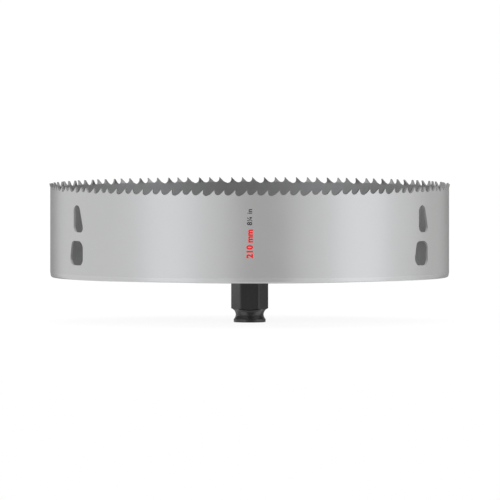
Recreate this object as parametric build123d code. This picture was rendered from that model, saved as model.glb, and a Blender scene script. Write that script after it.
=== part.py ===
from build123d import *
from math import acos, atan2, cos, degrees, hypot, pi, radians, sin, sqrt, tan
import os

# A wide hole saw that stands on its drive adapter with the teeth up, in millimetres.
# The origin is the centre of the adapter's end face. +Z runs up to the teeth and -Y is the front.
# Angles round the saw are in degrees from the front, counted towards +X.

# Cup
cutting_diameter = 210.0  # over the teeth that are set outwards
cup_height = 48.8  # from the underside of the base plate to the tooth tips
wall = 1.07
fit_clearance = 0.05  # gap all round between a piece and the one it fits into

# Teeth
tooth_pitch = 5.75  # mean pitch along the wall's outer face
gap_parts = (2.90, 3.12, 3.45)  # gaps after a straight, an outward and an inward tooth, in parts
tooth_set = 0.6  # how far a bent tooth's tip stands out from the wall's own face
primary_angle = 45.0  # slope of the clearance face next to the tip
primary_drop = 2.15  # how far that face falls before the shallower one takes over
secondary_angle = 25.0
gullet_radius = 1.8
tip_land = 0.1  # flat left on top of a tooth
bend_above_gullet = 0.1  # from the shallowest gullet's floor up to the line of the bend
blank_gap = 0.2  # left between two teeth's blanks, where a gullet is cut anyway
first_rake_angle = -0.7  # place of one straight tooth's cutting face

# Slots through the wall, for prising out the core
slot_sets = 3
first_slot_angle = 60.0
slot_margin_base = 7.8  # from the underside of the plate to the lower slot
slot_margin_tips = 9.5  # from the upper slot to the tooth tips
slot_bridge = 4.5  # wall left between the two slots
lower_slot_share = 0.474  # the lower slot's share of the height that both slots fill
lower_slot_right = 5.85  # each reach is measured from the middle of the set
lower_slot_top_left = 6.05
lower_slot_bottom_left = 7.25
lower_slot_rounds = (4.0, 3.3, 4.2, 3.0)  # corner radii: lower left, lower right, upper right, upper left
upper_slot_left = 3.5
upper_slot_right = 5.85
upper_slot_rounds = (3.3, 2.5, 3.4)  # radii: lower left, lower right, top end

# Base plate
rim_taper_height = 2.5  # the rim leans in from here down to the underside
rim_taper_angle = 10.0
rim_round = 1.0  # radius of the plate's lower outer edge
seat_land = 0.2  # straight rim between the taper and the band's seat
register_height = 1.8  # raised disc that centres the band
plate_chamfer = 0.4
knock_out_holes = 6
knock_out_diameter = 18.0
knock_out_inset = 34.4  # from the rim in to the hole's centre

# Drive adapter
adapter_reach = 23.65  # from its end face to the underside of the plate
hex_across_flats = 17.2
hex_corner_cut = 0.23  # how much of each sharp corner is taken off
flange_diameter = 16.75
flange_height = 1.62
groove_radius = 3.33
groove_depth = 1.04  # from the flange's rim in to the waist of the groove
thread_diameter = 15.875
thread_stand_out = 1.3  # past the nut
pilot_bore_diameter = 9.5
end_chamfer = 0.5
flange_chamfer = 0.1

# Lock nut
nut_across_flats = 23.8
nut_height = 6.0
nut_chamfer = 0.9  # height of the turned chamfer at its corners
nut_chamfer_angle = 30.0

# Sizes that follow
cup_radius = cutting_diameter / 2 - tooth_set
inner_radius = cup_radius - wall
mid_radius = cup_radius - wall / 2
seat_height = rim_taper_height + seat_land
plate_thickness = seat_height + register_height
plate_bottom = adapter_reach
plate_top = plate_bottom + plate_thickness
band_bottom = plate_bottom + seat_height
tip_height = plate_bottom + cup_height
adapter_top = plate_top + nut_height + thread_stand_out
thread_radius = thread_diameter / 2
thread_hole_radius = thread_radius + fit_clearance
tooth_groups = round(2 * pi * cup_radius / (len(gap_parts) * tooth_pitch))
gap_angles = [360 / tooth_groups * part / sum(gap_parts) for part in gap_parts]
cutter_reach = 2 * wall  # how far a cutter runs past each face of the wall


def around(shapes, count, first_angle):
    """Copies of shapes drawn at the front, carried round the saw at even steps."""
    angles = [first_angle + step * 360 / count for step in range(count)]
    return [Rot(0, 0, angle) * shape for angle in angles for shape in shapes]


def ring(outer_radius, hole_radius, bottom, top, start_angle=0, end_angle=360):
    """A tube on the saw's axis between two heights, or the stretch of it between two angles."""
    section = Pos((outer_radius + hole_radius) / 2, (bottom + top) / 2) * Rectangle(
        outer_radius - hole_radius, top - bottom)
    tube = revolve(Plane.XZ * section, Axis.Z, end_angle - start_angle)
    return Rot(0, 0, start_angle - 90) * tube


def hexagon(across_flats, corner_cut, bottom, top):
    """A six-sided bar on the saw's axis, a flat to the front, with its corners blunted."""
    outline = RegularPolygon(across_flats / 2, 6, major_radius=False)
    if corner_cut:
        blunt = across_flats / sqrt(3) - corner_cut
        outline &= RegularPolygon(blunt, 6, major_radius=False, rotation=30)
    return extrude(Pos(0, 0, bottom) * outline, top - bottom)


def through_wall(outline):
    """A cutter with this outline, in X and Z, that runs out through the wall at the front."""
    start = Plane.XZ.offset(inner_radius - cutter_reach)
    return extrude(start * outline, wall + 2 * cutter_reach)


def gullet_form(gap_angle):
    """A gullet's left edge, the tip and the heel on its right, its floor's radius and depth."""
    left = -mid_radius * sin(radians(gap_angle / 2))
    slope = radians(secondary_angle)
    tip = -left - tip_land
    heel = tip - primary_drop / tan(radians(primary_angle))
    radius = min(gullet_radius, (heel - left) / (1 + sin(slope)))
    arc_end = left + radius * (1 + sin(slope))
    depth = primary_drop + (heel - arc_end) * tan(slope) + radius * (1 - cos(slope))
    return left, tip, heel, radius, depth


def gullet_cutter(gap_angle):
    """The gap between two teeth: the rake face of one, a round floor, and the next one's back."""
    left, tip, heel, radius, depth = gullet_form(gap_angle)
    above = tip_height + cutter_reach
    centre = (left + radius, tip_height - depth + radius)
    rake = Line((left, above), (left, centre[1]))
    floor = CenterArc(centre, radius, 180, 90 + secondary_angle)
    back = Polyline(floor @ 1, (heel, tip_height - primary_drop), (tip, tip_height), (tip, above))
    lid = Line(back @ 1, rake @ 0)
    return through_wall(make_face([rake, floor, back, lid]))


def tooth_blank(lean, bend_line, start_angle, end_angle):
    """The stretch of edge that a bent tooth is cut from, leaning out by this much at its top."""
    section = make_face(Polyline(
        (inner_radius, bend_line), (cup_radius, bend_line),
        (cup_radius + lean, tip_height), (inner_radius + lean, tip_height), close=True))
    blank = revolve(Plane.XZ * section, Axis.Z, end_angle - start_angle)
    return Rot(0, 0, start_angle - 90) * blank


def tooth_group():
    """A straight, an outward and an inward tooth at the front, up to the next straight one.

    The wall is straight to begin with. The pocket takes it away above the line of the bend,
    the blanks put it back leaning out and in, and the gullets part all three teeth.
    """
    shallowest = min(gullet_form(gap)[-1] for gap in gap_angles)
    bend_line = tip_height - shallowest + bend_above_gullet
    to_floor = degrees(gullet_radius / mid_radius)
    clear = degrees(blank_gap / 2 / mid_radius)
    rakes = [0, gap_angles[0], gap_angles[0] + gap_angles[1]]
    pocket = ring(cup_radius + cutter_reach, inner_radius - cutter_reach, bend_line,
                  tip_height + cutter_reach, rakes[0] + to_floor, rakes[2] + to_floor)
    blanks = [
        tooth_blank(lean, bend_line, behind + to_floor + clear, rake + to_floor - clear)
        for lean, behind, rake in ((tooth_set, rakes[0], rakes[1]), (-tooth_set, rakes[1], rakes[2]))]
    gullets = [Rot(0, 0, rake + gap / 2) * gullet_cutter(gap)
               for rake, gap in zip(rakes, gap_angles)]
    return pocket, blanks, gullets


def belt_outline(circles):
    """The outline of a tight belt round circles, listed anticlockwise as X, Z and radius."""
    runs = []
    for (x1, z1, r1), (x2, z2, r2) in zip(circles, circles[1:] + circles[:1]):
        touch = atan2(z2 - z1, x2 - x1) - acos((r1 - r2) / hypot(x2 - x1, z2 - z1))
        runs.append(Line((x1 + r1 * cos(touch), z1 + r1 * sin(touch)),
                         (x2 + r2 * cos(touch), z2 + r2 * sin(touch))))
    turns = [RadiusArc(before @ 1, after @ 0, -circle[2])
             for before, after, circle in zip(runs[-1:] + runs[:-1], runs, circles)]
    return make_face(runs + turns)


def slot_cutters():
    """The pair of slots at the front: a wide one below, and one above that narrows upwards."""
    zone = cup_height - slot_margin_base - slot_margin_tips - slot_bridge
    lower_bottom = plate_bottom + slot_margin_base
    lower_top = lower_bottom + zone * lower_slot_share
    low_left, low_right, high_right, high_left = lower_slot_rounds
    lower = belt_outline([
        (low_left - lower_slot_bottom_left, lower_bottom + low_left, low_left),
        (lower_slot_right - low_right, lower_bottom + low_right, low_right),
        (lower_slot_right - high_right, lower_top - high_right, high_right),
        (high_left - lower_slot_top_left, lower_top - high_left, high_left)])
    low_left, low_right, end_round = upper_slot_rounds
    upper_bottom = lower_top + slot_bridge
    upper = belt_outline([
        (low_left - upper_slot_left, upper_bottom + low_left, low_left),
        (upper_slot_right - low_right, upper_bottom + low_right, low_right),
        (end_round - upper_slot_left, tip_height - slot_margin_tips - end_round, end_round)])
    return [through_wall(lower), through_wall(upper)]


def toothed_band():
    """The rolled wall: its bent teeth, the gullets between them, and three pairs of slots."""
    pocket, blanks, gullets = tooth_group()
    band = ring(cup_radius, inner_radius, band_bottom, tip_height)
    band -= around([pocket], tooth_groups, first_rake_angle)
    band += around(blanks, tooth_groups, first_rake_angle)
    band -= around(gullets, tooth_groups, first_rake_angle)
    return band - around(slot_cutters(), slot_sets, first_slot_angle)


def base_plate():
    """The turned disc: a tapered rim, a seat for the band, knock-out holes and a centre hole."""
    register_radius = inner_radius - fit_clearance
    lean = radians(rim_taper_angle)
    round_height = rim_round * (1 - sin(lean))  # where the round meets the taper
    round_reach = cup_radius - (rim_taper_height - round_height) * tan(lean)
    rim = CenterArc((round_reach - rim_round * cos(lean), plate_bottom + rim_round), rim_round,
                    -90, 90 - rim_taper_angle)
    outline = Polyline(
        rim @ 1, (cup_radius, plate_bottom + rim_taper_height), (cup_radius, band_bottom),
        (register_radius, band_bottom), (register_radius, plate_top - plate_chamfer),
        (register_radius - plate_chamfer, plate_top), (thread_hole_radius, plate_top),
        (thread_hole_radius, plate_bottom), rim @ 0)
    plate = revolve(Plane.XZ * make_face([rim, outline]), Axis.Z)
    hole = Pos(0, knock_out_inset - cup_radius, (plate_bottom + plate_top) / 2) * Cylinder(
        knock_out_diameter / 2, 2 * plate_thickness)
    return plate - around([hole], knock_out_holes, 0)


def drive_adapter():
    """The shank: a round foot, a locking groove, a hexagon, a threaded end and a pilot bore."""
    foot_radius = flange_diameter / 2
    groove_half = sqrt(groove_radius ** 2 - (groove_radius - groove_depth) ** 2)
    waist = flange_height + groove_half
    foot = Polyline(
        (0, 0), (foot_radius - flange_chamfer, 0), (foot_radius, flange_chamfer),
        (foot_radius, waist), (0, waist), close=True)
    foot = revolve(Plane.XZ * make_face(foot), Axis.Z)
    shank = hexagon(hex_across_flats, hex_corner_cut, waist, plate_bottom)
    groove = Pos(0, 0, waist) * Torus(foot_radius - groove_depth + groove_radius, groove_radius)
    thread = Polyline(
        (0, plate_bottom), (thread_radius, plate_bottom), (thread_radius, adapter_top - end_chamfer),
        (thread_radius - end_chamfer, adapter_top), (0, adapter_top), close=True)
    thread = revolve(Plane.XZ * make_face(thread), Axis.Z)
    return foot + shank + thread - groove - pilot_bore(adapter_top)


def pilot_bore(length):
    """A straight bore for the pilot drill, with a chamfer at both ends."""
    radius = pilot_bore_diameter / 2
    section = Polyline(
        (0, 0), (radius + end_chamfer, 0), (radius, end_chamfer), (radius, length - end_chamfer),
        (radius + end_chamfer, length), (0, length), close=True)
    return revolve(Plane.XZ * make_face(section), Axis.Z)


def lock_nut():
    """The thin hexagonal nut inside the cup, with its corners turned down on both faces."""
    corner_radius = nut_across_flats / sqrt(3)
    nut_top = plate_top + nut_height
    chamfer_run = nut_chamfer / tan(radians(nut_chamfer_angle))
    turned = Polyline(
        (thread_hole_radius, plate_top), (corner_radius - chamfer_run, plate_top),
        (corner_radius, plate_top + nut_chamfer), (corner_radius, nut_top - nut_chamfer),
        (corner_radius - chamfer_run, nut_top), (thread_hole_radius + end_chamfer, nut_top),
        (thread_hole_radius, nut_top - end_chamfer), close=True)
    turned = revolve(Plane.XZ * make_face(turned), Axis.Z)
    return turned & hexagon(nut_across_flats, 0, plate_top, nut_top)


os.makedirs("parts", exist_ok=True)
pieces = {
    "toothed_band": toothed_band(),
    "base_plate": base_plate(),
    "drive_adapter": drive_adapter(),
    "lock_nut": lock_nut(),
}
for name, piece in pieces.items():
    export_step(piece, f"parts/{name}.step")
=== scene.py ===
# %% [markdown]
# # A hole saw, 210 mm across, dressed for its portrait
#
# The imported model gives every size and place. This file gives the steel its finish, the teeth
# their clean milled faces, the shank its thread, and the saw a plain white studio.
# All lengths are metres, +Z is up and the camera looks along +Y. Angles round the saw are
# counted from the front (-Y) towards +X.

# %% Load the frame
from math import acos, atan2, ceil, cos, pi, radians, sin, sqrt, tan

import bmesh
import bpy
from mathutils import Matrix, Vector
from mathutils.geometry import delaunay_2d_cdt


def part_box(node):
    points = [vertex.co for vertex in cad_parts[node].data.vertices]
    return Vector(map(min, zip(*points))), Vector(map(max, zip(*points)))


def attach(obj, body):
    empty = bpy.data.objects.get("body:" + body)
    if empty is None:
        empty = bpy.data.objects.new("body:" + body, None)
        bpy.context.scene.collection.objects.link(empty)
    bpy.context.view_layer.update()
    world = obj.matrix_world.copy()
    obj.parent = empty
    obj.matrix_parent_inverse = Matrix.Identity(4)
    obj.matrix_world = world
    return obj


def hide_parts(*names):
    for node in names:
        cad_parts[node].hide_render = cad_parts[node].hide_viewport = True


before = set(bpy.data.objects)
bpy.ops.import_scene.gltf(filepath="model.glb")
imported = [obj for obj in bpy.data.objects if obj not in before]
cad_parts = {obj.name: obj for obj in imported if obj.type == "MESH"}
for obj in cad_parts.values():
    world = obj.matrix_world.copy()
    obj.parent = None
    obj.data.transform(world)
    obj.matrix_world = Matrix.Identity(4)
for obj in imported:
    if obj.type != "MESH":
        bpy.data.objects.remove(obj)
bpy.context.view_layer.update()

# %% [markdown]
# ## Sizes
#
# What the frame can tell is measured there: the cup's radius is half the base plate, the tooth
# tips are the top of the band, and so on. What no box can show is written out, either here or
# where it is first needed. Angles among the sizes are in degrees.

# %% Sizes read from the frame, and those of the wall and the gaps
MM = 0.001

band_low, band_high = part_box("toothed_band")
plate_low, plate_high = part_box("base_plate")
shank_low, shank_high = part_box("drive_adapter")
nut_low, nut_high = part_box("lock_nut")

cup_radius = plate_high.x
band_bottom = band_low.z
tip_height = band_high.z
plate_bottom, plate_top = plate_low.z, plate_high.z
nut_top = nut_high.z
shank_top = shank_high.z
hex_across_flats = shank_high.y - shank_low.y
nut_across_flats = nut_high.y - nut_low.y

wall = 1.07 * MM
mid_radius = cup_radius - wall / 2
inner_radius = cup_radius - wall
fit_clearance = 0.05 * MM
edge_break = 0.08 * MM  # height of the small bevels at the seam between band and plate
edge_break_depth = 0.03 * MM
tooth_pitch = 5.75 * MM
gap_parts = (2.90, 3.12, 3.45)  # how a group's length is shared out between its three gaps

tooth_groups = round(2 * pi * cup_radius / (len(gap_parts) * tooth_pitch))
gap_lengths = [2 * pi * mid_radius / tooth_groups * part / sum(gap_parts) for part in gap_parts]
print(tooth_groups, "groups of three teeth")

# %% [markdown]
# ## Small helpers
#
# A Geometry Nodes tree or a material is easier to read when making a node takes one line.
# `wire` makes a node, fills in or links its inputs, and gives it back. Every tree here ends in
# the same way, with its copies made real and its finish set, because copies that are only
# instances are lost when the model is exported. The other helpers turn the result of a tree
# into a plain mesh and give a finished mesh its smooth shading.

# %% Helpers for node trees and meshes
SHARP_ANGLE = radians(12)  # wider than a facet of any round here, narrower than a tooth's bend
SAME_POINT = 1e-7  # points closer than this are doubles
CUT, INSIDE = 1, 2  # places in a piece's list of materials, after its own finish


def word_for(socket):
    """A socket's name as one word in lower case."""
    return socket.name.lower().replace(" ", "_")


def wire(tree, kind, settings=None, **inputs):
    """A new node. An input goes by the word for its socket, or by its place: in_0, in_1 and so on."""
    node = tree.nodes.new(kind)
    for name, value in (settings or {}).items():
        setattr(node, name, value)
    by_name = {word_for(socket): socket for socket in reversed(node.inputs)}
    for name, value in inputs.items():
        socket = node.inputs[int(name[3:])] if name.startswith("in_") else by_name[name]
        if isinstance(value, bpy.types.NodeSocket):
            tree.links.new(value, socket)
        else:
            socket.default_value = value
    return node


def maths(tree, operation, *values):
    """One step of arithmetic; gives its result."""
    inputs = {f"in_{place}": value for place, value in enumerate(values)}
    return wire(tree, "ShaderNodeMath", {"operation": operation}, **inputs).outputs[0]


def from_axis(tree, x, y):
    """How far a place lies from the Z axis."""
    squares = maths(tree, "ADD", maths(tree, "MULTIPLY", x, x), maths(tree, "MULTIPLY", y, y))
    return maths(tree, "SQRT", squares)


def new_shape_tree(name, sockets):
    """An empty Geometry Nodes tree with named inputs; gives the tree and its two end nodes."""
    tree = bpy.data.node_groups.new(name, "GeometryNodeTree")
    tree.interface.new_socket("Geometry", in_out="OUTPUT", socket_type="NodeSocketGeometry")
    tree.interface.new_socket("Geometry", in_out="INPUT", socket_type="NodeSocketGeometry")
    for socket, kind in sockets.items():
        tree.interface.new_socket(socket, in_out="INPUT", socket_type=kind)
    return tree, tree.nodes.new("NodeGroupInput"), tree.nodes.new("NodeGroupOutput")


def end_tree(tree, end, geometry, finish):
    """Ends a tree: makes copies real, and sets the finish of all faces but those of a cut or an inside."""
    real = wire(tree, "GeometryNodeRealizeInstances", geometry=geometry)
    place = wire(tree, "GeometryNodeInputMaterialIndex").outputs[0]
    dressed = wire(tree, "GeometryNodeSetMaterial", geometry=real.outputs[0],
                   selection=maths(tree, "LESS_THAN", place, CUT), material=finish)
    tree.links.new(dressed.outputs[0], end.inputs[0])


def plain_mesh(thing):
    """What an object's modifiers or font come to, as a mesh."""
    bpy.context.view_layer.update()
    evaluated = thing.evaluated_get(bpy.context.evaluated_depsgraph_get())
    return bpy.data.meshes.new_from_object(evaluated)


def shape_with(piece, tree, **values):
    """Runs a tree on a piece and keeps the result as the piece's plain mesh."""
    modifier = piece.modifiers.new(tree.name, "NODES")
    modifier.node_group = tree
    for socket in tree.interface.items_tree:
        if socket.in_out == "INPUT" and word_for(socket) in values:
            modifier[socket.identifier] = values[word_for(socket)]
    mesh = plain_mesh(piece)
    piece.modifiers.remove(modifier)
    piece.data = mesh
    return piece


def add_object(name, data):
    """A new object at the origin that shows this mesh, font, lamp or camera."""
    thing = bpy.data.objects.new(name, data)
    bpy.context.scene.collection.objects.link(thing)
    return thing


def piece_from(name, points, faces, *materials):
    """A new piece from a list of points and faces."""
    mesh = bpy.data.meshes.new(name)
    mesh.from_pydata([tuple(point) for point in points], [], faces)
    for material in materials:
        mesh.materials.append(material)
    return add_object(name, mesh)


def finish_mesh(piece):
    """Welds doubles, turns every face outwards and shades round surfaces smooth."""
    shell = bmesh.new()
    shell.from_mesh(piece.data)
    bmesh.ops.remove_doubles(shell, verts=shell.verts, dist=SAME_POINT)
    bmesh.ops.recalc_face_normals(shell, faces=shell.faces)
    open_edges = sum(1 for edge in shell.edges if len(edge.link_faces) != 2)
    if shell.calc_volume(signed=True) < 0:
        bmesh.ops.reverse_faces(shell, faces=shell.faces)
    shell.to_mesh(piece.data)
    shell.free()
    piece.data.shade_smooth()
    piece.data.set_sharp_from_angle(angle=SHARP_ANGLE)
    print(f"{piece.name}: {len(piece.data.polygons)} faces, {open_edges} open edges")
    return piece


def remove_tool(tool):
    """A cutter is a helper: it leaves the scene once its cut is made."""
    mesh = tool.data
    bpy.data.objects.remove(tool)
    bpy.data.meshes.remove(mesh)


# %% [markdown]
# ## Finish: satin steel
#
# The cup is cold-rolled strip under a thin clear coat. It is metal, so its colour is a tint on
# what it reflects, and the satin look is mostly roughness. Rolling leaves faint lines along the
# strip, which here run round the cup. A picture of brushed metal could be wrapped round the
# cup, but it would need a seam. Instead, a noise that is stretched in X and Y and fine in Z
# draws the lines. A second, cloudy noise varies the gloss a little, as oil and handling do.
# The plate was turned on a lathe, whose tool leaves rings, so its noise is read by the distance
# from the axis.
#
# The same finish serves five surfaces: the coated outside, the turned plate, made slightly brighter
# as painted light, the bare faces of the teeth, the bright punched faces of the slots, and the
# uncoated inside, which is darker by painted shade and darker still near the teeth by more of it.

# %% Steel of the cup
STEEL_COLOUR = (0.505, 0.507, 0.508, 1)
STEEL_ROUGHNESS = 0.36
# Painted light: the plate is a little brighter than the cup, which lightens its rim band and what shows
# through the slots.
PLATE_PAINTED_LIGHT_COLOUR = (0.533, 0.535, 0.538, 1)
CUT_COLOUR = (0.30, 0.30, 0.297, 1)
CUT_ROUGHNESS = 0.42
SLOT_COLOUR = (0.46, 0.46, 0.456, 1)
SLOT_ROUGHNESS = 0.65
# Painted shade: the inside is darker than the outside, and its top colour darker still towards the teeth.
INSIDE_SHADED_COLOUR = (0.44, 0.441, 0.441, 1)
INSIDE_TOP_SHADE_COLOUR = (0.351, 0.352, 0.354, 1)
INSIDE_ROUGHNESS = 0.43
TOP_SHADE_HEIGHTS = (15.5 * MM, 9.5 * MM)  # below the tips: where the darker edge starts, and where it is full

EVEN = (1, 1, 1)  # stretches of a noise along X, Y and Z
ROLLED = (0.03, 0.03, 1)
TURNED = "turned"
ROLLING_LINES = (ROLLED, 4000, 0.15)  # stretch and scale of a pattern, and strength of its bump
TURNING_RINGS = (TURNED, 900, 0.5)
FINE_GRAIN = (EVEN, 6000, 0.1)
RELIEF = 0.02 * MM  # height of every bump at full strength
PATTERN_GLOSS = 0.03  # how much the pattern changes the roughness, up and down
RING_SHADE = 0.1  # share by which the rings change the colour
CLOUD_SCALE = 45
CLOUD_GLOSS = 0.02
CLOUD_SHADE = 0.025
NOISE_LOW, NOISE_HIGH = 0.3, 0.7  # nearly all of a noise lies between these


def new_material(name):
    """A material with an empty Principled shader; gives the material, its tree and the shader."""
    material = bpy.data.materials.new(name)
    material.use_nodes = True
    tree = material.node_tree
    return material, tree, tree.nodes["Principled BSDF"]


def turned_place(tree, place):
    """A place as its distance from the axis and its height, so that a pattern runs round the piece."""
    x, y, z = wire(tree, "ShaderNodeSeparateXYZ", vector=place).outputs
    return wire(tree, "ShaderNodeCombineXYZ", x=from_axis(tree, x, y), z=z).outputs[0]


def stretched_noise(tree, stretch, scale, detail=3.0):
    """Noise on the piece's own coordinates, stretched along each axis or turned round the piece."""
    place = wire(tree, "ShaderNodeTexCoord").outputs["Object"]
    if stretch == TURNED:
        place, stretch = turned_place(tree, place), EVEN
    mapped = wire(tree, "ShaderNodeMapping", {"vector_type": "POINT"}, vector=place, scale=stretch)
    noise = wire(tree, "ShaderNodeTexNoise", vector=mapped.outputs[0], scale=scale, detail=detail)
    return noise.outputs["Fac"]


def between(tree, factor, low, high):
    """Carries the usual range of a noise to low..high."""
    step = wire(tree, "ShaderNodeMapRange", value=factor, from_min=NOISE_LOW, from_max=NOISE_HIGH,
                to_min=low, to_max=high)
    return step.outputs["Result"]


def shade_of(tree, factor, colour, change):
    """A colour that varies with the factor by a share each way."""
    dark = tuple(part * (1 - change) for part in colour[:3]) + (1,)
    light = tuple(min(1, part * (1 + change)) for part in colour[:3]) + (1,)
    mix = wire(tree, "ShaderNodeMix", {"data_type": "RGBA"}, in_0=factor, in_6=dark, in_7=light)
    return mix.outputs[2]


def painted_shade_by_height(tree, colour, shade_colour):
    """Painted shade by height: one colour below, and a darker one towards the teeth."""
    place = wire(tree, "ShaderNodeTexCoord").outputs["Object"]
    height = wire(tree, "ShaderNodeSeparateXYZ", vector=place).outputs["Z"]
    low, high = (tip_height - below for below in TOP_SHADE_HEIGHTS)
    share = wire(tree, "ShaderNodeMapRange", value=height, from_min=low, from_max=high).outputs[0]
    mix = wire(tree, "ShaderNodeMix", {"data_type": "RGBA"}, in_0=share, in_6=colour, in_7=shade_colour)
    return mix.outputs[2]


def add_relief(tree, shader, pattern, strength):
    """Shows a pattern as a shallow bump."""
    relief = wire(tree, "ShaderNodeBump", strength=strength, distance=RELIEF, height=pattern)
    tree.links.new(relief.outputs["Normal"], shader.inputs["Normal"])


def steel_finish(name, colour, roughness, pattern, shade_colour=None):
    """Satin steel with fine lines, rings or grain and a cloudy variation of its gloss."""
    material, tree, shader = new_material(name)
    stretch, scale, bump = pattern
    lines = stretched_noise(tree, stretch, scale)
    clouds = stretched_noise(tree, EVEN, CLOUD_SCALE, detail=4.0)
    if stretch == TURNED:
        shade = shade_of(tree, lines, colour, RING_SHADE)
    else:
        shade = shade_of(tree, clouds, colour, CLOUD_SHADE)
    # painted shade towards the teeth, when a shade colour is given
    if shade_colour:
        shade = painted_shade_by_height(tree, shade, shade_of(tree, clouds, shade_colour, CLOUD_SHADE))
    gloss = maths(tree, "ADD", between(tree, clouds, -CLOUD_GLOSS, CLOUD_GLOSS),
                  between(tree, lines, roughness - PATTERN_GLOSS, roughness + PATTERN_GLOSS))
    tree.links.new(shade, shader.inputs["Base Color"])
    tree.links.new(gloss, shader.inputs["Roughness"])
    shader.inputs["Metallic"].default_value = 1.0
    add_relief(tree, shader, lines, bump)
    return material


cup_steel = steel_finish("satin_cup_steel", STEEL_COLOUR, STEEL_ROUGHNESS, ROLLING_LINES)
plate_with_painted_light = steel_finish("turned_plate_steel", PLATE_PAINTED_LIGHT_COLOUR, STEEL_ROUGHNESS, TURNING_RINGS)
cut_steel = steel_finish("bare_cut_steel", CUT_COLOUR, CUT_ROUGHNESS, FINE_GRAIN)
slot_steel = steel_finish("punched_slot_steel", SLOT_COLOUR, SLOT_ROUGHNESS, FINE_GRAIN)
# The inside steel carries painted shade, deepest towards the teeth.
inside_steel = steel_finish("inside_steel", INSIDE_SHADED_COLOUR, INSIDE_ROUGHNESS, ROLLING_LINES,
                            shade_colour=INSIDE_TOP_SHADE_COLOUR)
steels = (cup_steel, plate_with_painted_light, cut_steel, slot_steel, inside_steel)
print("steels:", ", ".join(steel.name for steel in steels))

# %% [markdown]
# ## Finish: black oxide
#
# The shank and its nut are blackened steel. It could be made as a very dark metal, but then it
# would reflect hardly anything. The black layer is thin and takes its gloss like a dark glaze,
# so it is a nearly black base with an ordinary, not metallic, reflection. Clouds in its tone
# and a fine grain keep it from looking like plastic.

# %% Black oxide of the shank and nut
BLACK_COLOUR = (0.007, 0.007, 0.0072, 1)
BLACK_ROUGHNESS = 0.2
BLACK_GLOSS = 0.5
BLACK_GRAIN_SCALE = 3500
BLACK_GRAIN_BUMP = 0.04
BLACK_CLOUDS = ((1, 1, 0.4), 260)  # stretch and scale
BLACK_CLOUD_SHADE = 0.25


def black_oxide_finish():
    """Blackened steel: dark, slightly mottled and finely grained."""
    material, tree, shader = new_material("black_oxide_steel")
    grain = stretched_noise(tree, EVEN, BLACK_GRAIN_SCALE, detail=2.0)
    clouds = stretched_noise(tree, *BLACK_CLOUDS)
    shade = shade_of(tree, clouds, BLACK_COLOUR, BLACK_CLOUD_SHADE)
    gloss = between(tree, clouds, BLACK_ROUGHNESS - PATTERN_GLOSS, BLACK_ROUGHNESS + PATTERN_GLOSS)
    tree.links.new(shade, shader.inputs["Base Color"])
    tree.links.new(gloss, shader.inputs["Roughness"])
    shader.inputs["Specular IOR Level"].default_value = BLACK_GLOSS
    add_relief(tree, shader, grain, BLACK_GRAIN_BUMP)
    return material


black_oxide = black_oxide_finish()
print("black:", black_oxide.name)

# %% [markdown]
# ## The toothed band
#
# The real band starts as a flat strip: its edge is milled into teeth, the teeth are bent in
# turn, pairs of slots are punched, and the strip is rolled into a ring. Teeth could also be cut
# out of a tube one by one, but bent teeth are hard to cut and easy to draw flat. So the mesh is
# made in the real order. One group of three teeth is drawn flat, with X along the strip, Y
# through it and Z up. A triangulator fills the outline. Geometry Nodes then lay the groups in
# a row and roll the row up, which keeps every tooth the same and the seam invisible.
#
# A gullet is a straight cutting face, a round floor, and two clearance faces that rise to the
# next tip. Their angles are the same in every gap, so a longer gap gives a deeper gullet, and
# the lengths of a group's three gaps give the whole outline.

# %% Outline of the teeth
primary_angle = 45  # of the clearance face next to the tip
primary_drop = 2.15 * MM  # how far that face reaches down
secondary_angle = 25  # of the flatter face below it
gullet_radius = 1.8 * MM
tip_land = 0.1 * MM
bend_above_gullet = 0.1 * MM  # from the shallowest gullet up to where the teeth are bent
PLAIN_BELOW_GULLET = 0.5 * MM  # from the deepest gullet down to where the plain columns start
FLOOR_STEPS = (12, 4)  # facets of a gullet's floor before and after its lowest point


def gullet_outline(gap):
    """Half-outlines of one gullet about its middle: down to the lowest point, and up from it."""
    left = -gap / 2
    slope = radians(secondary_angle)
    tip = -left - tip_land
    heel = tip - primary_drop / tan(radians(primary_angle))
    radius = min(gullet_radius, (heel - left) / (1 + sin(slope)))
    run = heel - left - radius * (1 + sin(slope))
    depth = primary_drop + run * tan(slope) + radius * (1 - cos(slope))
    floor = tip_height - depth
    down = [(left, tip_height)]
    down += [(left + radius * (1 - cos(a)), floor + radius * (1 - sin(a)))
             for a in (pi / 2 * step / FLOOR_STEPS[0] for step in range(FLOOR_STEPS[0] + 1))]
    up = [(left + radius * (1 + sin(a)), floor + radius * (1 - cos(a)))
          for a in (slope * step / FLOOR_STEPS[1] for step in range(1, FLOOR_STEPS[1] + 1))]
    up += [(heel, tip_height - primary_drop), (tip, tip_height)]
    return down, up


def group_outline():
    """The edge of one group, from one deep gullet's lowest point to the next, left to right."""
    rakes = [0, gap_lengths[0], gap_lengths[0] + gap_lengths[1]]
    middles = [-gap_lengths[2] / 2] + [rake + gap / 2 for rake, gap in zip(rakes, gap_lengths)]
    gaps = [gap_lengths[2], *gap_lengths]
    edge = []
    for place, (middle, gap) in enumerate(zip(middles, gaps)):
        down, up = gullet_outline(gap)
        if place == 0:
            down = down[-1:]
        if place == len(gaps) - 1:
            up = []
        edge += [(middle + x, z) for x, z in down + up]
    return edge, rakes


floors = [gullet_outline(gap)[0][-1][1] for gap in gap_lengths]
bend_line = max(floors) + bend_above_gullet
zone_line = min(floors) - PLAIN_BELOW_GULLET
print("gullet depths in mm", [round((tip_height - floor) / MM, 2) for floor in floors])

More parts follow.
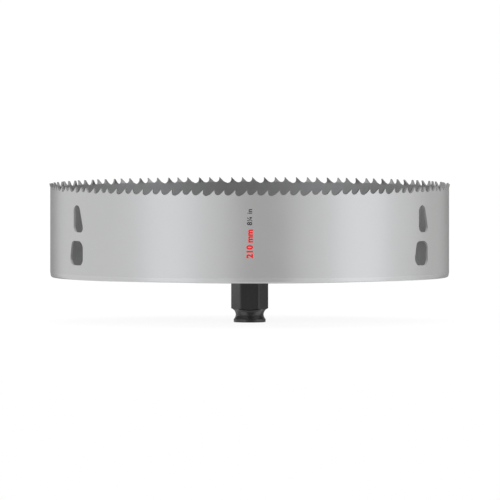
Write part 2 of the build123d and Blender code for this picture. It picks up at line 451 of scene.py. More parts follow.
# %% [markdown]
# Real teeth are bent outwards, inwards or not at all, so that the cut is wider than the strip.
# The sheet is drawn once, as the middle of the strip. Each point knows how far its tooth leans
# there: nothing up to the line of the bend, and the full set at the tip. Doubling the sheet to
# half the wall on each side and joining the two along the edge makes the solid strip. The new
# edge faces are bare cut steel, and the inner ones are the uncoated inside, darkened by painted shade.

# %% One group of teeth as a flat strip
tooth_leans = (0, 1, -1)  # straight, outwards, inwards
tooth_set = 0.6 * MM
COLUMNS = 16  # of the wall below one group of teeth
WELD = 0.002 * MM  # points closer than this are one point
KEEP_INSIDE = 1  # asks the triangulator for what lies within the outline
NEAREST = 1e-6  # the least distance that it tells from none


def lean_at(x, z, rakes):
    """How far the strip stands out at this place, because its tooth is bent."""
    if z <= bend_line:
        return 0.0
    tooth = next(place for place, rake in enumerate(rakes) if x <= rake + gullet_radius)
    return tooth_leans[tooth] * tooth_set * (z - bend_line) / (tip_height - bend_line)


def group_sheet():
    """Points and triangles of one group's face, and the lines of points below the teeth."""
    edge, rakes = group_outline()
    left, right = edge[0][0], edge[-1][0]
    columns = [left + (right - left) * step / COLUMNS for step in range(COLUMNS + 1)]
    outline = [(x, zone_line) for x in columns] + edge[::-1]
    ring = [(place, (place + 1) % len(outline)) for place in range(len(outline))]
    bend = [(left - wall, bend_line), (right + wall, bend_line)]
    corners = [Vector(point) / MM for point in outline + bend]
    lines = ring + [(len(outline), len(outline) + 1)]
    points, _, triangles, _, _, sources = delaunay_2d_cdt(
        corners, lines, [list(range(len(outline)))], KEEP_INSIDE, NEAREST, True)
    triangles = [triangle for triangle, source in zip(triangles, sources) if source]
    used = sorted({corner for triangle in triangles for corner in triangle})
    renumber = {old: new for new, old in enumerate(used)}
    points = [tuple(points[old] * MM) for old in used]
    faces = [[renumber[corner] for corner in triangle] for triangle in triangles]
    start = len(points)
    on_line = [place for place, (x, z) in enumerate(points) if abs(z - zone_line) < WELD]
    tops = sorted(on_line, key=lambda place: points[place][0])
    points += [(x, band_bottom + edge_break) for x in columns]
    faces += [[start + step, start + step + 1, tops[step + 1], tops[step]]
              for step in range(COLUMNS)]
    return points, faces, rakes, (left, right)


def free_edges(faces):
    """Pairs of corners of every edge that only one face has."""
    edges = [edge for face in faces for edge in zip(face, face[1:] + face[:1])]
    known = set(edges)
    return [(start, end) for start, end in edges if (end, start) not in known]


def flat_group():
    """One group of teeth as a flat solid strip, open at both ends where the next one joins."""
    points, faces, rakes, ends = group_sheet()
    count = len(points)
    leans = [lean_at(x, z, rakes) for x, z in points]
    solid = [(x, -wall / 2 - lean, z) for (x, z), lean in zip(points, leans)]
    solid += [(x, wall / 2 - lean, z) for (x, z), lean in zip(points, leans)]
    walls = faces + [[corner + count for corner in reversed(face)] for face in faces]
    at_end = [min(abs(x - end) for end in ends) < WELD for x, z in points]
    bottom = band_bottom + edge_break
    joined = []
    breaks = {}  # for a point of the bottom line, where the bevel's two corners start in the list
    for start, end in free_edges(faces):
        if at_end[start] and at_end[end] and points[start][1] != points[end][1]:
            continue
        if max(points[start][1], points[end][1]) < bottom + WELD:
            for corner in (start, end):
                if corner not in breaks:
                    breaks[corner] = len(solid)
                    solid.append((points[corner][0], -wall / 2 + edge_break_depth, band_bottom))
                    solid.append((points[corner][0], wall / 2, band_bottom))
            a, b = breaks[start], breaks[end]
            joined += [[end, start, a, b], [b, a, a + 1, b + 1],
                       [b + 1, a + 1, start + count, end + count]]
        else:
            joined.append([end, start, start + count, end + count])
    strip = piece_from("toothed_band_finish", solid, walls + joined, cup_steel, cut_steel, inside_steel)
    for polygon in strip.data.polygons:
        if len(faces) <= polygon.index < len(walls):
            polygon.material_index = INSIDE
        elif polygon.index >= len(walls) and polygon.center.z > zone_line:
            polygon.material_index = CUT
    return strip, ends


strip, strip_ends = flat_group()
print("one group:", len(strip.data.polygons), "faces")

# %% [markdown]
# Rolling up is one formula: the distance along the strip becomes an angle, and the distance
# through it becomes a radius. The tree makes a row of points one group apart, puts the group on
# each, turns the copies into real geometry, rolls the row up and welds the joints.

# %% Lay the groups in a row and roll them into a ring
first_rake_angle = -0.7  # where the cutting face of the first straight tooth stands


def rolling_tree():
    """Geometry Nodes: copies of a flat strip in a row, rolled into a ring round the Z axis."""
    tree, start, end = new_shape_tree("Roll a toothed strip", {
        "Groups": "NodeSocketInt", "Group length": "NodeSocketFloat",
        "Rolling radius": "NodeSocketFloat", "First angle": "NodeSocketFloat",
        "Weld distance": "NodeSocketFloat", "Finish": "NodeSocketMaterial"})
    step = wire(tree, "ShaderNodeCombineXYZ", x=start.outputs["Group length"])
    row = wire(tree, "GeometryNodeMeshLine", {"mode": "OFFSET"},
               count=start.outputs["Groups"], offset=step.outputs[0])
    copies = wire(tree, "GeometryNodeInstanceOnPoints",
                  points=row.outputs[0], instance=start.outputs["Geometry"])
    real = wire(tree, "GeometryNodeRealizeInstances", geometry=copies.outputs[0])
    place = wire(tree, "GeometryNodeInputPosition").outputs[0]
    along = wire(tree, "ShaderNodeSeparateXYZ", vector=place)
    turn = maths(tree, "DIVIDE", along.outputs["X"], start.outputs["Rolling radius"])
    turn = maths(tree, "ADD", turn, start.outputs["First angle"])
    radius = maths(tree, "SUBTRACT", start.outputs["Rolling radius"], along.outputs["Y"])
    x = maths(tree, "MULTIPLY", radius, maths(tree, "SINE", turn))
    y = maths(tree, "MULTIPLY", radius, maths(tree, "MULTIPLY", maths(tree, "COSINE", turn), -1.0))
    rolled = wire(tree, "ShaderNodeCombineXYZ", x=x, y=y, z=along.outputs["Z"])
    ring = wire(tree, "GeometryNodeSetPosition", geometry=real.outputs[0], position=rolled.outputs[0])
    welded = wire(tree, "GeometryNodeMergeByDistance", geometry=ring.outputs[0],
                  distance=start.outputs["Weld distance"])
    end_tree(tree, end, welded.outputs[0], start.outputs["Finish"])
    return tree


band = shape_with(
    strip, rolling_tree(), groups=tooth_groups, group_length=strip_ends[1] - strip_ends[0],
    rolling_radius=mid_radius, first_angle=radians(first_rake_angle), weld_distance=WELD,
    finish=cup_steel)
print("rolled band:", len(band.data.polygons), "faces")

# %% [markdown]
# ## The slots
#
# Three pairs of slots let a screwdriver prise out the core. They could be drawn into the flat
# strip, but they don't line up with the groups of teeth, so they are cut from the ring. Each
# outline is a tight belt round a few circles: the belt's straight runs are the slot's sides and
# the circles its corners. The pair is drawn at the front as a cutter that runs through the
# wall. A second tree then repeats any cutter at even steps round the axis and takes the copies
# away, so the plate's holes can use it too. The new faces keep the cutter's own material, here
# the steel of the punched faces.

# %% Cutters for one pair of slots
slot_sets = 3
first_slot_angle = 60
slot_margin_base = 7.8 * MM
slot_margin_tips = 9.5 * MM
slot_bridge = 4.5 * MM
lower_slot_share = 0.474
lower_slot_right = 5.85 * MM
lower_slot_top_left = 6.05 * MM
lower_slot_bottom_left = 7.25 * MM
lower_slot_rounds = (4.0 * MM, 3.3 * MM, 4.2 * MM, 3.0 * MM)  # from the lower left, anticlockwise
upper_slot_left = 3.5 * MM
upper_slot_right = 5.85 * MM
upper_slot_rounds = (3.3 * MM, 2.5 * MM, 3.4 * MM)  # lower left, lower right, top end
CORNER_STEP = radians(6)  # the widest facet of a slot's corner
TOOL_REACH = 2 * wall  # of the cutter beyond each face of the wall


def belt(circles):
    """Points of a tight belt round circles, listed anticlockwise as X, Z and radius."""
    touches = []
    for (x1, z1, r1), (x2, z2, r2) in zip(circles, circles[1:] + circles[:1]):
        gap = sqrt((x2 - x1) ** 2 + (z2 - z1) ** 2)
        touches.append(atan2(z2 - z1, x2 - x1) - acos((r1 - r2) / gap))
    points = []
    for (x, z, r), start, end in zip(circles, touches[-1:] + touches[:-1], touches):
        turn = (end - start) % (2 * pi)
        steps = ceil(turn / CORNER_STEP)
        points += [(x + r * cos(start + turn * step / steps), z + r * sin(start + turn * step / steps))
                   for step in range(steps + 1)]
    return points


def through_wall(outlines):
    """Prisms at the front with these outlines, in X and Z, that run through the band's wall."""
    near, far = -cup_radius - TOOL_REACH, -inner_radius + TOOL_REACH
    points, faces = [], []
    for outline in outlines:
        start, count = len(points), len(outline)
        points += [(x, near, z) for x, z in outline] + [(x, far, z) for x, z in outline]
        faces.append(list(range(start, start + count)))
        faces.append(list(reversed(range(start + count, start + 2 * count))))
        faces += [[start + step, start + count + step, start + count + (step + 1) % count,
                   start + (step + 1) % count] for step in range(count)]
    return points, faces


def slot_outlines():
    """The wide lower slot and the upper one, which narrows towards the teeth."""
    zone = tip_height - plate_bottom - slot_margin_base - slot_margin_tips - slot_bridge
    low = plate_bottom + slot_margin_base
    high = low + zone * lower_slot_share
    low_left, low_right, high_right, high_left = lower_slot_rounds
    lower = belt([(low_left - lower_slot_bottom_left, low + low_left, low_left),
                  (lower_slot_right - low_right, low + low_right, low_right),
                  (lower_slot_right - high_right, high - high_right, high_right),
                  (high_left - lower_slot_top_left, high - high_left, high_left)])
    low_left, low_right, top = upper_slot_rounds
    low = high + slot_bridge
    upper = belt([(low_left - upper_slot_left, low + low_left, low_left),
                  (upper_slot_right - low_right, low + low_right, low_right),
                  (top - upper_slot_left, tip_height - slot_margin_tips - top, top)])
    return lower, upper


slot_tool = piece_from("slot_tool", *through_wall(slot_outlines()), slot_steel)

# %% Take copies of a cutter away round the axis


def cutting_tree():
    """Geometry Nodes: copies of a cutter at even steps round the Z axis, taken from a piece."""
    tree, start, end = new_shape_tree("Cut round the axis", {
        "Cutter": "NodeSocketObject", "Copies": "NodeSocketInt", "First angle": "NodeSocketFloat",
        "Finish": "NodeSocketMaterial"})
    tool = wire(tree, "GeometryNodeObjectInfo", object=start.outputs["Cutter"])
    spots = wire(tree, "GeometryNodeMeshLine", {"mode": "OFFSET"},
                 count=start.outputs["Copies"], offset=(0, 0, 0))
    number = wire(tree, "GeometryNodeInputIndex").outputs[0]
    turn = maths(tree, "DIVIDE", maths(tree, "MULTIPLY", number, 2 * pi), start.outputs["Copies"])
    turn = maths(tree, "ADD", turn, start.outputs["First angle"])
    turned = wire(tree, "ShaderNodeCombineXYZ", z=turn)
    copies = wire(tree, "GeometryNodeInstanceOnPoints", points=spots.outputs[0],
                  instance=tool.outputs["Geometry"], rotation=turned.outputs[0])
    real = wire(tree, "GeometryNodeRealizeInstances", geometry=copies.outputs[0])
    cut = wire(tree, "GeometryNodeMeshBoolean", {"operation": "DIFFERENCE", "solver": "EXACT"},
               mesh_1=start.outputs["Geometry"], mesh_2=real.outputs[0])
    end_tree(tree, end, cut.outputs["Mesh"], start.outputs["Finish"])
    return tree


cut_round_the_axis = cutting_tree()
finish_mesh(band)
band = shape_with(band, cut_round_the_axis, cutter=slot_tool, copies=slot_sets,
                  first_angle=radians(first_slot_angle), finish=cup_steel)
remove_tool(slot_tool)
finish_mesh(band)

# %% [markdown]
# ## Turned pieces
#
# The plate, the shank and the nut were all turned or milled about one axis. The Screw modifier
# spins a section into a round piece, but it can't make a hexagon. `skin` makes either from
# rows: each row says, for any angle, how far out and how high its points lie. A turned surface
# gives the same answer at every angle, and a hexagon doesn't. Where a groove meets a flat of
# the hexagon, the row works out the exact height at which they meet, so the curved edges of
# the real shank come out by themselves.

# %% Skin over rows of points


def faces_between(pairs, count, closed=True):
    """Faces between pairs of rows, each row given by its first point. A closed row joins its ends."""
    steps = count if closed else count - 1
    return [[here + step, here + (step + 1) % count, there + (step + 1) % count, there + step]
            for here, there in pairs for step in range(steps)]


def skin(name, rows, angles, material):
    """A closed surface through rows of points round the axis; the last row joins the first."""
    points = []
    for row in rows:
        for angle in angles:
            radius, height = row(angle)
            points.append((radius * sin(angle), -radius * cos(angle), height))
    firsts = list(range(0, len(points), len(angles)))
    faces = faces_between(zip(firsts, firsts[1:] + firsts[:1]), len(angles))
    return piece_from(name, points, faces, material)


def at(radius, height):
    """A row that is a plain circle."""
    return lambda angle: (radius, height)


def even_angles(count):
    """Equal steps once round."""
    return [2 * pi * step / count for step in range(count)]


# %% [markdown]
# ## The base plate
#
# The plate is a turned disc. Its rim leans in a little towards its rounded lower edge, and its
# upper side steps in to carry the band. The seam between the two shows on the real saw as a
# fine line, so both edges there have a tiny bevel. Six holes let a rod knock out a stuck core.
# They are cut with the same tree as the slots, by a tool that is wider where it leaves the
# plate, which gives each hole its chamfers in the same cut.

# %% Base plate
PLATE_COLUMNS = 360
HOLE_COLUMNS = 72
RIM_STEPS = 10
rim_taper_height = 2.5 * MM
rim_taper_angle = 10
rim_round = 1.0 * MM
plate_chamfer = 0.4 * MM
knock_out_holes = 6
knock_out_diameter = 18.0 * MM
knock_out_inset = 34.4 * MM
knock_out_chamfer = 0.4 * MM
thread_diameter = 15.875 * MM
thread_radius = thread_diameter / 2
thread_hole_radius = thread_radius + fit_clearance


def plate_rows():
    """Once round the plate's section, from the middle of its underside out, up and back in."""
    register = inner_radius - fit_clearance
    rows = [at(thread_hole_radius, plate_bottom)]
    lean = radians(rim_taper_angle)
    round_top = rim_round * (1 - sin(lean))
    middle = cup_radius - (rim_taper_height - round_top) * tan(lean) - rim_round * cos(lean)
    for step in range(RIM_STEPS + 1):
        turn = (pi / 2 - lean) * step / RIM_STEPS
        rows.append(at(middle + rim_round * sin(turn), plate_bottom + rim_round * (1 - cos(turn))))
    rows.append(at(cup_radius, plate_bottom + rim_taper_height))
    rows += [at(cup_radius, band_bottom - edge_break), at(cup_radius - edge_break_depth, band_bottom),
             at(register, band_bottom), at(register, plate_top - plate_chamfer),
             at(register - plate_chamfer, plate_top), at(thread_hole_radius, plate_top)]
    return rows


def knock_out_tool():
    """A cutter for one hole at the front, with a cone through each face of the plate."""
    bore, wide = knock_out_diameter / 2, knock_out_diameter / 2 + 2 * knock_out_chamfer
    rows = [(wide, plate_bottom - knock_out_chamfer), (bore, plate_bottom + knock_out_chamfer),
            (bore, plate_top - knock_out_chamfer), (wide, plate_top + knock_out_chamfer)]
    middle = knock_out_inset - cup_radius
    points = [(radius * sin(angle), middle - radius * cos(angle), height)
              for radius, height in rows for angle in even_angles(HOLE_COLUMNS)]
    firsts = list(range(0, len(points), HOLE_COLUMNS))
    faces = faces_between(zip(firsts, firsts[1:]), HOLE_COLUMNS)
    faces += [list(reversed(range(HOLE_COLUMNS))), list(range(firsts[-1], len(points)))]
    return piece_from("knock_out_tool", points, faces, cut_steel)


plate = finish_mesh(skin("base_plate_finish", plate_rows(), even_angles(PLATE_COLUMNS), plate_with_painted_light))
hole_tool = finish_mesh(knock_out_tool())
plate = shape_with(plate, cut_round_the_axis, cutter=hole_tool, copies=knock_out_holes,
                   first_angle=0.0, finish=plate_with_painted_light)
remove_tool(hole_tool)
finish_mesh(plate)

# %% [markdown]
# ## The shank
#
# From below: a round flange, a locking groove, a hexagon with its corners taken off, and the
# thread that goes up through the plate into the nut. A thread can be made by sweeping its
# section along a helix, but the ends of such a sweep are hard to close. Here a tree of its own
# cuts it: it pulls each point in by a wave that climbs one pitch in one turn. Only what stands
# above the nut can be seen, so only there are the rows close enough to carry it.

# %% Hexagons


def hexagon_radius(angle, across_flats, corner_cut=0.0):
    """How far out a six-sided bar reaches at this angle, a flat to the front."""
    off_flat = abs((angle + pi / 6) % (pi / 3) - pi / 6)
    flat = across_flats / 2 / cos(off_flat)
    blunt = (across_flats / sqrt(3) - corner_cut) / cos(pi / 6 - off_flat)
    return min(flat, blunt)


def hexagon_angles(across_flats, corner_cut, steps):
    """Angles that meet every edge of a blunted hexagon, with even steps across each flat."""
    blunt = across_flats / sqrt(3) - corner_cut
    half_flat = (blunt - across_flats / 2 * cos(pi / 6)) / sin(pi / 6)
    edge = atan2(half_flat, across_flats / 2)
    angles = []
    for side in range(6):
        middle = side * pi / 3
        angles += [middle + edge * (2 * step / steps - 1) for step in range(steps + 1)]
        angles.append(middle + pi / 6)
    return angles


# %% Shank
FLAT_STEPS = 22
GROOVE_STEPS = 20
THREAD_ROW = 0.06 * MM
hex_corner_cut = 0.23 * MM
flange_diameter = 16.75 * MM
flange_height = 1.62 * MM
flange_chamfer = 0.1 * MM
groove_radius = 3.33 * MM
groove_depth = 1.04 * MM
pilot_bore_diameter = 9.5 * MM
end_chamfer = 0.5 * MM
threads_per_inch = 18
thread_depth_share = 0.6134  # of the pitch, from crest to root
thread_crest_share = 0.2  # of the pitch, flat
thread_pitch = 25.4 / threads_per_inch * MM
thread_depth = thread_depth_share * thread_pitch
thread_start = nut_top - thread_pitch / 2
core_radius = (pilot_bore_diameter / 2 + thread_radius - thread_depth) / 2  # between bore and root


def groove_row(share):
    """A row in the groove, this share of the way from the flange up to the hexagon's flats."""
    foot = flange_diameter / 2
    centre = foot - groove_depth + groove_radius
    low = -acos((centre - foot) / groove_radius)
    waist = flange_height - groove_radius * sin(low)

    def row(angle):
        high = acos((centre - hexagon_radius(angle, hex_across_flats, hex_corner_cut)) / groove_radius)
        turn = low + (high - low) * share
        return centre - groove_radius * cos(turn), waist + groove_radius * sin(turn)
    return row


def shank_rows():
    """Once round the shank's section: end face, flange, groove, hexagon, thread and bore."""
    foot, bore = flange_diameter / 2, pilot_bore_diameter / 2
    rows = [at(bore, end_chamfer), at(bore + end_chamfer, 0), at(foot - flange_chamfer, 0),
            at(foot, flange_chamfer), at(foot, flange_height)]
    rows += [groove_row(step / GROOVE_STEPS) for step in range(1, GROOVE_STEPS + 1)]
    rows.append(lambda angle: (hexagon_radius(angle, hex_across_flats, hex_corner_cut), plate_bottom))
    rows.append(at(thread_radius, plate_bottom))
    low, high = thread_start, shank_top - end_chamfer
    steps = round((high - low) / THREAD_ROW)
    rows += [at(thread_radius, low + (high - low) * step / steps) for step in range(steps + 1)]
    steps = round(end_chamfer / THREAD_ROW)
    rows += [at(thread_radius - end_chamfer * step / steps, high + end_chamfer * step / steps)
             for step in range(1, steps + 1)]
    rows += [at(bore + end_chamfer, shank_top), at(bore, shank_top - end_chamfer)]
    return rows


def thread_tree():
    """Geometry Nodes: pulls a bar's surface in along a screw line above a given height."""
    tree, start, end = new_shape_tree("Cut a thread", {
        "Outer radius": "NodeSocketFloat", "Core radius": "NodeSocketFloat",
        "Pitch": "NodeSocketFloat", "Depth": "NodeSocketFloat", "From height": "NodeSocketFloat",
        "Half crest": "NodeSocketFloat", "Finish": "NodeSocketMaterial"})
    place = wire(tree, "GeometryNodeInputPosition").outputs[0]
    x, y, z = wire(tree, "ShaderNodeSeparateXYZ", vector=place).outputs
    radius = from_axis(tree, x, y)
    turns = maths(tree, "DIVIDE", maths(tree, "ARCTAN2", y, x), 2 * pi)
    climb = maths(tree, "SUBTRACT", maths(tree, "DIVIDE", z, start.outputs["Pitch"]), turns)
    from_crest = maths(tree, "PINGPONG", climb, 0.5)  # half a pitch away is the root
    wave = wire(tree, "ShaderNodeMapRange", value=from_crest,
                from_min=start.outputs["Half crest"], from_max=0.5).outputs[0]
    cut = maths(tree, "SUBTRACT", start.outputs["Outer radius"],
                maths(tree, "MULTIPLY", wave, start.outputs["Depth"]))
    shrink = maths(tree, "DIVIDE", maths(tree, "MINIMUM", radius, cut), radius)
    moved = wire(tree, "ShaderNodeCombineXYZ", x=maths(tree, "MULTIPLY", x, shrink),
                 y=maths(tree, "MULTIPLY", y, shrink), z=z)
    above = maths(tree, "GREATER_THAN", z, start.outputs["From height"])
    outside = maths(tree, "GREATER_THAN", radius, start.outputs["Core radius"])
    screw = wire(tree, "GeometryNodeSetPosition", geometry=start.outputs["Geometry"],
                 selection=maths(tree, "MULTIPLY", above, outside), position=moved.outputs[0])
    end_tree(tree, end, screw.outputs[0], start.outputs["Finish"])
    return tree


shank = skin("drive_adapter_finish", shank_rows(),
             hexagon_angles(hex_across_flats, hex_corner_cut, FLAT_STEPS), black_oxide)
shank = shape_with(shank, thread_tree(), outer_radius=thread_radius, core_radius=core_radius,
                   pitch=thread_pitch, depth=thread_depth, half_crest=thread_crest_share / 2,
                   from_height=thread_start + THREAD_ROW / 2, finish=black_oxide)
finish_mesh(shank)

# %% [markdown]
# ## The lock nut
#
# The nut inside the cup holds the shank to the plate. It is a thin hexagon whose corners are
# turned down on both faces. The cone of the chamfer meets each flat in the shallow curve that
# every nut has. A bevel would only cut the corners straight, so the rows find the curve in the
# same way as they did for the groove.

# %% Lock nut
NUT_FLAT_STEPS = 40
nut_chamfer = 0.9 * MM
nut_chamfer_angle = 30


def nut_rows():
    """Once round the nut's section, from the hole's lower end out, up and back in."""
    slope = tan(radians(nut_chamfer_angle))
    start = nut_across_flats / sqrt(3) - nut_chamfer / slope

    def face(height):
        return lambda angle: (min(start, hexagon_radius(angle, nut_across_flats)), height)

    def corner(height, way):
        def row(angle):
            reach = hexagon_radius(angle, nut_across_flats)
            return reach, height + way * max(0, reach - start) * slope
        return row
    return [at(thread_hole_radius, plate_top), face(plate_top), corner(plate_top, 1),
            corner(nut_top, -1), face(nut_top), at(thread_hole_radius + end_chamfer, nut_top),
            at(thread_hole_radius, nut_top - end_chamfer)]


nut_angles = hexagon_angles(nut_across_flats, 0, NUT_FLAT_STEPS)
nut = finish_mesh(skin("lock_nut_finish", nut_rows(), nut_angles, black_oxide))

# %% [markdown]
# ## Size marks
#
# Such a saw has its diameter printed on the wall, here in red millimetres and small dark
# inches that read upwards. Ink could be a colour in the wall's own material, but then its edges
# would be only as sharp as the texture. Text starts as a font object. As a mesh its letters are
# carried onto the wall: the reading direction becomes height, and the letters' height becomes
# an angle. The ink is a closed skin a few hundredths of a millimetre thick.

# %% Size marks
RED_INK = (0.84, 0.004, 0.008, 1)
DARK_INK = (0.03, 0.03, 0.032, 1)
INK_GLOSS = 0.1
INK_ROUGHNESS = (0.42, 0.5)
INK_SHADE = 0.05
INK_CLOUD_SCALE = 2500
INK_ABOVE = 0.035 * MM
INK_BELOW = 0.02 * MM
LETTER_SPACING = 1.02
LETTER_STEPS = 6  # facets of each curve of a letter


def ink_finish(name, colour):
    """Printing ink: one colour, slightly uneven in strength and gloss."""
    material, tree, shader = new_material(name)
    clouds = stretched_noise(tree, EVEN, INK_CLOUD_SCALE)
    tree.links.new(shade_of(tree, clouds, colour, INK_SHADE), shader.inputs["Base Color"])
    tree.links.new(between(tree, clouds, *INK_ROUGHNESS), shader.inputs["Roughness"])
    shader.inputs["Specular IOR Level"].default_value = INK_GLOSS
    return material


def printed(name, words, material, letter_height, boldness, middle):
    """Words printed up the front of the wall, centred at this height above the plate's underside."""
    font = bpy.data.curves.new(name, "FONT")
    font.body = words
    font.extrude = 0.5  # any depth will do, because both faces get their own radius below
    font.offset = boldness
    font.space_character = LETTER_SPACING
    font.resolution_u = LETTER_STEPS
    text = add_object(name, font)
    mesh = plain_mesh(text)
    bpy.data.objects.remove(text)
    xs, ys = [v.co.x for v in mesh.vertices], [v.co.y for v in mesh.vertices]
    scale = letter_height / (max(ys) - min(ys))
    for vertex in mesh.vertices:
        along = (vertex.co.x - (min(xs) + max(xs)) / 2) * scale
        across = (vertex.co.y - (min(ys) + max(ys)) / 2) * scale
        radius = cup_radius + (INK_ABOVE if vertex.co.z > 0 else -INK_BELOW)
        turn = -across / cup_radius
        vertex.co = (radius * sin(turn), -radius * cos(turn), plate_bottom + middle + along)
    mesh.materials.clear()
    mesh.materials.append(material)
    print(name, "is", round((max(xs) - min(xs)) * scale / MM, 2), "mm long")
    return finish_mesh(add_object(name, mesh))


marks = [printed("size_mark_mm", "210 mm", ink_finish("red_ink", RED_INK),
                 letter_height=3.55 * MM, boldness=0.045, middle=20.8 * MM),
         printed("size_mark_inch", "8\u00bc in", ink_finish("dark_ink", DARK_INK),
                 letter_height=2.75 * MM, boldness=0.02, middle=34.8 * MM)]

# %% [markdown]
# ## The studio
#
# The photograph looks almost along the floor with no perspective, so the camera is orthographic
# and looks down by less than two degrees. Bright metal shows what stands round it, as it does
# for a photographer, who therefore puts up cards that only the metal sees. So here too what the
# saw reflects is set apart from what lights it. Two soft boxes and a white sky light the saw.

# %% Camera
VIEW_ELEVATION = radians(1.94)
VIEW_WIDTH = 0.2617
VIEW_REACH = 10
AIM = Vector((0.00017, 0, 0.03774))


def add_camera():
    """A camera without perspective, from the front and a little above."""
    lens = bpy.data.cameras.new("camera")
    lens.type = "ORTHO"
    lens.ortho_scale = VIEW_WIDTH
    lens.clip_end = VIEW_REACH
    camera = add_object("camera", lens)
    camera.location = AIM + Vector((0, -cos(VIEW_ELEVATION), sin(VIEW_ELEVATION)))
    camera.rotation_euler = (pi / 2 - VIEW_ELEVATION, 0, 0)
    bpy.context.scene.camera = camera


add_camera()
print("camera sees", round(VIEW_WIDTH / MM, 1), "mm across")

# %% World, floor and lamps
WORLD_FILL = 0.9
FLOOR_GLOW = 0.9
FLOOR_SHADE_SEEN = 0.13
FLOOR_SHADE = 0.8
FLOOR_REACH = 6.0
FLOOR_DROP = 0.05 * MM  # so that the floor and the shank's end face aren't in one plane
SOFT_BOXES = ((-50, 30, 0.8), (70, 34, 0.95))  # azimuth and width in degrees, and brightness
STUDIO_RADIUS = 1.4
STUDIO_HEIGHT = 1.6


def seen_directly(tree):
    """1 for what the camera sees, straight or in a reflection or through glass, else 0."""
    path = wire(tree, "ShaderNodeLightPath").outputs
    either = maths(tree, "MAXIMUM", path["Is Camera Ray"], path["Is Glossy Ray"])
    return maths(tree, "MAXIMUM", either, path["Is Transmission Ray"])


def light_world():
    """White to look at, and a soft even fill on the saw."""
    world = bpy.data.worlds.new("studio")
    bpy.context.scene.world = world
    world.use_nodes = True
    tree = world.node_tree
    background = tree.nodes["Background"]
    background.inputs["Color"].default_value = (1, 1, 1, 1)
    strength = wire(tree, "ShaderNodeMapRange", value=seen_directly(tree), to_min=WORLD_FILL, to_max=1.0)
    tree.links.new(strength.outputs[0], background.inputs["Strength"])


def floor_finish():
    """A pale floor that looks white, mostly by its own glow, so that the shadow on it is faint."""
    material, tree, shader = new_material("floor_white")
    seen = seen_directly(tree)
    shade = wire(tree, "ShaderNodeMapRange", value=seen, to_min=FLOOR_SHADE, to_max=FLOOR_SHADE_SEEN)
    tree.links.new(shade.outputs[0], shader.inputs["Base Color"])
    tree.links.new(maths(tree, "MULTIPLY", seen, FLOOR_GLOW), shader.inputs["Emission Strength"])
    shader.inputs["Emission Color"].default_value = (1, 1, 1, 1)
    shader.inputs["Roughness"].default_value = 1.0
    shader.inputs["Specular IOR Level"].default_value = 0.0
    return material


def add_floor():
    """A wide square under the saw."""
    corners = [(x * FLOOR_REACH, y * FLOOR_REACH, -FLOOR_DROP)
               for x, y in ((-1, -1), (1, -1), (1, 1), (-1, 1))]
    floor = piece_from("floor", corners, [[0, 1, 2, 3]], floor_finish())


def towards(azimuth):
    """A step of one metre from the axis, level with the floor."""
    return Vector((sin(radians(azimuth)), -cos(radians(azimuth)), 0))


def add_soft_box(azimuth, width, brightness):
    """A tall lamp of even brightness that faces the saw."""
    lamp = bpy.data.lights.new("soft_box", "AREA")
    lamp.shape = "RECTANGLE"
    lamp.size = 2 * STUDIO_RADIUS * tan(radians(width / 2))
    lamp.size_y = STUDIO_HEIGHT
    lamp.energy = brightness * pi * lamp.size * lamp.size_y  # at 1 it is as bright as a white sky
    box = add_object("soft_box", lamp)
    box.location = towards(azimuth) * STUDIO_RADIUS + Vector((0, 0, STUDIO_HEIGHT / 2))
    box.rotation_euler = (pi / 2, 0, radians(azimuth))
    box.visible_camera = False
    box.visible_glossy = False


light_world()
add_floor()
for lamp in SOFT_BOXES:
    add_soft_box(*lamp)
bpy.context.scene.view_settings.view_transform = "Standard"
print("lights:", len(SOFT_BOXES), "soft boxes and the sky")

# %% [markdown]
# The cards could be lamps if they were flat. They are bent, so each is a glowing mesh that is
# kept out of all but the reflections. The drum's cards lie on the floor and turn up at the end:
# two bright ones left and right, a grey one in front that gives the drum its darker middle, and
# grey ones at the sides that draw its edges. Where the drum's surface faces some angle, it
# shows what stands at twice that angle, so a card is placed by the part of the drum that has
# to show it. The groove of the shank looks down at the floor below the drum, so flat cards of
# its own lie there. Two grey flags stand nearer. Seen from the front, the low one mostly
# darkens a flat of the hexagon, and the one that hangs over the cup mostly darkens the teeth
# at the back. From other sides they darken a few other places a little.

# %% Cards and flags for the reflections
COOL_WHITE = (0.97, 0.98, 1, 1)
WARM_GREY = (1, 1, 0.985, 1)
CARD_LIFT = 0.2 * MM  # above the floor
CARD_STEPS = 6
CARD_GAP = 0.03  # of white floor between the drum and a card
SHANK_REACH = (0.012, 0.1)  # radii between which the shank's cards lie round it, under the drum
# between which angles of the drum or shank a card shows, and its brightness
CARDS = {"card_front": (-4.5, 12, 0.62), "card_left": (-32, -16.5, 1.38), "card_right": (25.5, 43, 1.42),
         "card_edge_right": (58, 76, 0.75), "card_back_right": (76, 90, 0.31),
         "card_back_left": (-90, -73.5, 0.31)}
SHANK_CARDS = {"shank_front": (-6, 13, 0.5), "shank_left": (-32, -11, 1.75), "shank_right": (20, 42, 1.8),
               "shank_edge_right": (50, 90, 0.35), "shank_edge_left": (-90, -60, 0.4)}
# distance and azimuth of each end of a flag, its heights and its brightness
FLAGS = {"flag_low": ((0.13, 95), (0.13, 145), (CARD_LIFT, 0.022), 0.4),
         "flag_above": ((0.075, -37), (0.104, 55), (0.088, 0.22), 0.22)}


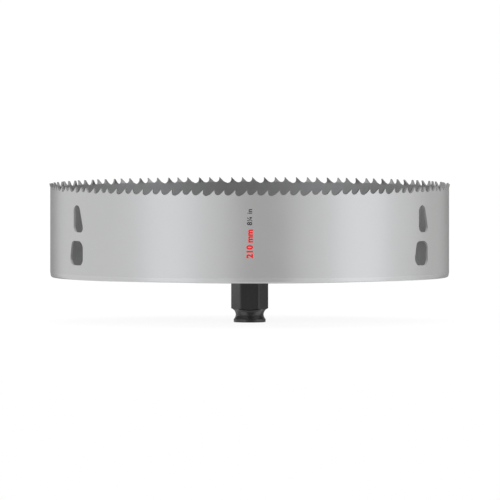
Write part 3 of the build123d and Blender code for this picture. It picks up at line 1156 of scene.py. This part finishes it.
def glowing(name, level):
    """A material that only gives off light of this level."""
    material = bpy.data.materials.new(name)
    material.use_nodes = True
    tree = material.node_tree
    tree.nodes.remove(tree.nodes["Principled BSDF"])
    colour = COOL_WHITE if level > 1 else WARM_GREY
    glow = wire(tree, "ShaderNodeEmission", color=colour, strength=level)
    tree.links.new(glow.outputs[0], tree.nodes["Material Output"].inputs["Surface"])
    return material


def seen_in_reflections_only(card):
    """Takes a card out of the picture, the light and the shadows, but not out of the metal."""
    card.visible_camera = False
    card.visible_diffuse = False
    card.visible_shadow = False


def add_card(name, rows, first, last, level):
    """A card through rows of points, which a round surface shows between two angles.

    A row is given by the surface's radius, the distance from there and the height.
    """
    angles = [first + (last - first) * step / CARD_STEPS for step in range(CARD_STEPS + 1)]
    points = [towards(angle) * foot + towards(2 * angle) * distance + Vector((0, 0, height))
              for foot, distance, height in rows for angle in angles]
    firsts = list(range(0, len(points), len(angles)))
    faces = faces_between(zip(firsts, firsts[1:]), len(angles), closed=False)
    seen_in_reflections_only(piece_from(name, points, faces, glowing(name, level)))


def add_flag(name, first_end, last_end, heights, level):
    """An upright card near the saw, from one end to the other and between two heights."""
    corners = [towards(azimuth) * distance + Vector((0, 0, height))
               for distance, azimuth in (first_end, last_end) for height in heights]
    seen_in_reflections_only(piece_from(name, corners, [[0, 2, 3, 1]], glowing(name, level)))


on_the_floor_and_up = [(cup_radius, CARD_GAP, CARD_LIFT), (cup_radius, STUDIO_RADIUS, CARD_LIFT),
                       (cup_radius, STUDIO_RADIUS, STUDIO_HEIGHT)]
for name, card in CARDS.items():
    add_card(name, on_the_floor_and_up, *card)
for name, card in SHANK_CARDS.items():
    add_card(name, [(0, reach, CARD_LIFT) for reach in SHANK_REACH], *card)
for name, flag in FLAGS.items():
    add_flag(name, *flag)
print("reflections:", len(CARDS) + len(SHANK_CARDS), "cards and", len(FLAGS), "flags")

# %% [markdown]
# ## Hand over
#
# Every piece rides on the saw's one body, and the four finished pieces stand for their plain solids.

# %% Hand over to the frame
stands_for = ((band, "toothed_band", "cup_steel"), (plate, "base_plate", "cup_steel"),
              (shank, "drive_adapter", "black_oxide_steel"), (nut, "lock_nut", "black_oxide_steel"))
for piece, node, slot in stands_for:
    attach(piece, "root")
    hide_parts(node)
for mark in marks:
    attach(mark, "root")
